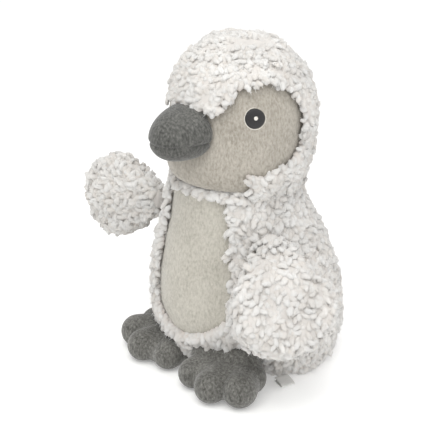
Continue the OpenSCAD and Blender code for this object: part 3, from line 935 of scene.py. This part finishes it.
def discOn(name, place, radius, dome, lift, ridges, ridgeHeight, material,
           offset=(0, 0), rings=18, sides=192):
    # A stitched disc: a low dome with one ridge for each thread, closed underneath
    centre, out, right, up = place
    verts, faces = [], []
    for i in range(rings + 1):
        s = i / rings
        for k in range(sides):
            t = 2 * math.pi * k / sides
            r = radius * s * (1 + 0.008 * math.sin(ridges * t) * (i == rings))
            ridge = ridgeHeight * math.sin(ridges * t + s * 1.5) * s * (1 - 0.5 * s ** 6)
            h = lift + dome * (1 - s ** 3.0) ** 0.8 + ridge
            x, y = offset[0] + r * math.cos(t), offset[1] + r * math.sin(t)
            sag = (x * x + y * y) / (2 * eyeFacts["ball"])
            verts.append(centre + (right * x + up * y + out * (h - sag)) * mm)
    for i in range(rings):
        for k in range(sides):
            a, b = i * sides + k, i * sides + (k + 1) % sides
            faces.append((a, b, b + sides, a + sides))
    last = rings * sides
    base = len(verts)
    for k in range(sides):
        verts.append(np.array(verts[last + k]) - out * 0.8 * mm)
    for k in range(sides):
        faces.append((last + k, last + (k + 1) % sides, base + (k + 1) % sides, base + k))
    faces.append(tuple(range(base, base + sides))[::-1])
    return meshObject(name, verts, faces, material)


def rimOn(name, place, radius, width, material, turns=150):
    # Slanted satin stitches round the disc
    centre, out, right, up = place
    sides, around = 10, 900
    verts, faces = [], []
    for i in range(around):
        t = 2 * math.pi * i / around
        lower = 1 + 0.25 * (math.sin(t) < -0.2) * abs(math.sin(t))
        thick = width * (0.5 + 0.1 * math.sin(turns * t)) * lower
        for k in range(sides):
            q = 2 * math.pi * k / sides
            r = radius + thick * math.cos(q)
            h = 0.15 + thick * 0.9 * math.sin(q)
            x, y = r * math.cos(t + 0.02 * math.cos(q)), r * math.sin(t + 0.02 * math.cos(q))
            verts.append(centre + (right * x + up * y + out * (h - r * r / (2 * eyeFacts["ball"]))) * mm)
    for i in range(around):
        for k in range(sides):
            a, b = i * sides + k, i * sides + (k + 1) % sides
            c, d = ((i + 1) % around) * sides + (k + 1) % sides, ((i + 1) % around) * sides + k
            faces.append((a, d, c, b))
    return meshObject(name, verts, faces, material)


for side in ("eye_left", "eye_right"):
    place = eyeFrame(side)
    disc = discOn(side + "_satin", place, eyeFacts["radius"], eyeFacts["proud"], 0.15,
                  eyeFacts["spokes"], 0.07, eyeSatin)
    dot = discOn(side + "_dot", place, eyeFacts["dot"], 0.5, 1.0, 26, 0.05, whiteThread,
                 offset=(0.2, 0.2), rings=8, sides=104)
    rim = rimOn(side + "_rim_thread", place, eyeFacts["radius"] + 0.35, eyeFacts["rim"], whiteThread)
    for piece, node, slotName in ((disc, side, "eye_satin"), (dot, side + "_glint", "white_thread"),
                                  (rim, side + "_rim", "white_thread")):
        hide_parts(node)
        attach(piece, "head")
print("eyes made")


base = workCopy("base_panel_cloth", ["base_panel"], 1.5 * mm, 4)
co = coordsOf(base)
inner = np.clip(np.hypot(co[:, 0], co[:, 1]) / 0.06, 0, 1)
co[:, 2] = np.maximum(co[:, 2], 0.0002) + 0.0006 * (1 - inner ** 4) * (co[:, 2] < 0.0015)
setCoords(base, bodyForm(co) * np.array([1, 1, 0]) + co * np.array([0, 0, 1]))
dress(base, baseCloth)
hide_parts("base_panel")
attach(base, "body")

labelFacts = {"width": 12, "thick": 0.35, "loop": 1.3, "rows": 41, "columns": 12, "inSeam": 3}
labelLow, labelHigh = (np.array(v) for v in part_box("care_label"))
labelMiddle = (labelLow + labelHigh) / 2
labelOut = unit(labelMiddle * np.array([1, 1, 0]))
labelSide = np.cross([0, 0, 1.0], labelOut)
labelReach = np.linalg.norm((labelHigh - labelLow)[:2]) / 2 - labelFacts["inSeam"] * mm
rows = []
for s in np.linspace(0, 1, labelFacts["rows"]):
    t = (s - 0.5) * 2
    reach = labelReach * (1 - abs(t) ** 2.6) * 2 - labelReach
    rise = labelFacts["loop"] * math.sin(t * math.pi / 2) * 1.15 + 0.6 * (1 - abs(t))
    rows.append((reach, rise))
verts, faces = [], []
columns = labelFacts["columns"]
for reach, rise in rows:
    for k in range(columns + 1):
        w = (k / columns - 0.5) * labelFacts["width"] * mm
        wave = np.array([0, 0, (rise + 0.3 * math.sin(w * 400)) * mm])
        verts.append(labelMiddle + labelOut * reach + labelSide * w + wave)
for i in range(len(rows) - 1):
    for k in range(columns):
        a = i * (columns + 1) + k
        faces.append((a, a + 1, a + columns + 2, a + columns + 1))
label = meshObject("care_label_tape", verts, faces, labelTape)
thickness = label.modifiers.new("thickness", "SOLIDIFY")
thickness.thickness = labelFacts["thick"] * mm
thickness.offset = 0
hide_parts("care_label")
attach(label, "body")

wadding = workCopy("body_filling_fibre", ["body_filling"], 3 * mm, 2)
under = coordsOf(wadding)
inward = np.array([0, -0.003, 0.09]) - under
setCoords(wadding, bodyForm(under) + unit(inward) * 1.2 * mm)
dress(wadding, fibreFill)
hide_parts("body_filling")
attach(wadding, "body")

for node, material in (("neck_filling", fibreFill), ("head_filling", fibreFill),
                       ("beak_filling", fibreFill), ("wing_left_filling", fibreFill),
                       ("wing_right_filling", fibreFill),
                       ("pellet_pouch", pouchCotton), ("pellets", pelletPlastic)):
    dress(frame["nodes"][node], material)
print("all pieces made")
